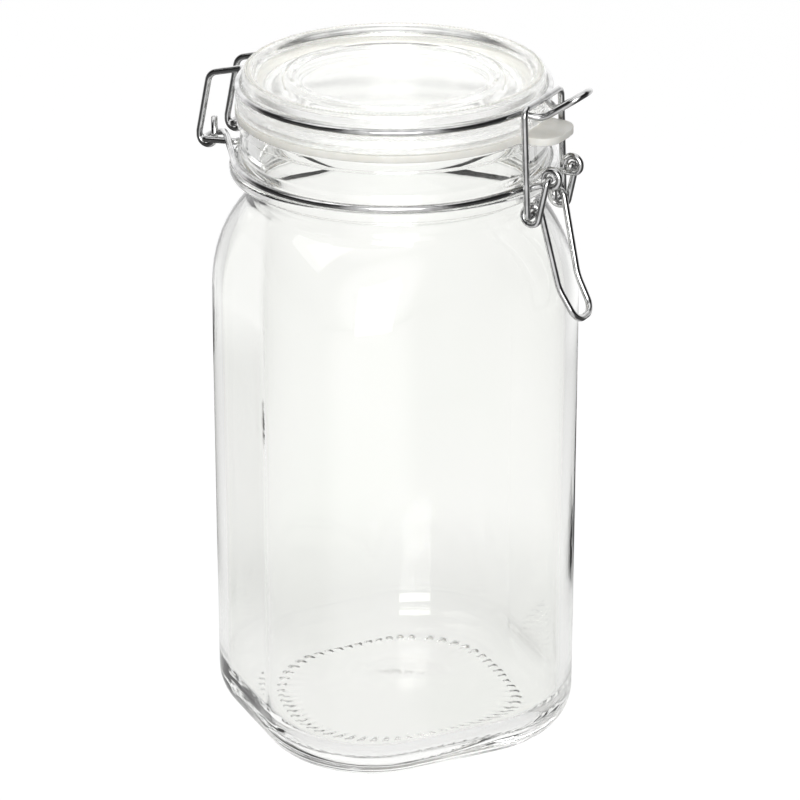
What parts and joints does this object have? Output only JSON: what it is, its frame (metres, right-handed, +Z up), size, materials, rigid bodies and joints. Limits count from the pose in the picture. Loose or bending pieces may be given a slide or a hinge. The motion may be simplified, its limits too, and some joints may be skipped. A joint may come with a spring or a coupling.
{
  "type": "lidded glass canister",
  "caption": "Square clear-glass storage canister with a hinged glass lid, a rubber seal with a pull tab, and a bent-wire lever clamp that holds the lid shut.",
  "frame": {"origin": "on the mouth's axis, in the plane that the foot rests on", "axes": "+Z up along the mouth's axis, -Y towards the clamp, +Y towards the lid's hinge, +X along the hinge axes"},
  "size_m": [0.1172, 0.1328, 0.2222],
  "materials": {
    "jar_glass": "gloss",
    "lid_glass": "gloss",
    "seal": "satin",
    "wire": "bright drawn wire"
  },
  "bodies": {
    "jar": {"jar_body": "jar_glass", "neck_wire": "wire"},
    "lid": {"lid_glass": "lid_glass", "gasket": "seal", "lid_wire": "wire"},
    "lever": {"clasp_lever": "wire"},
    "loop": {"clasp_loop": "wire"}
  },
  "joints": [
    {"name": "lid_hinge", "type": "hinge", "parent": "jar", "child": "lid", "pos_m": [0, 0.0619, 0.19], "axis": [-1, 0, 0], "range_deg": [0, 140]},
    {"name": "lever_hinge", "type": "hinge", "parent": "jar", "child": "lever", "pos_m": [0, -0.05755, 0.195], "axis": [-1, 0, 0], "range_deg": [0, 110]},
    {"name": "loop_hinge", "type": "hinge", "parent": "lever", "child": "loop", "pos_m": [0, -0.0522, 0.183], "axis": [-1, 0, 0], "range_deg": [-78.2, 0]}
  ],
  "couplings": [
    {"joint": "loop_hinge", "follows": "lever_hinge", "ratio": -0.71}
  ]
}
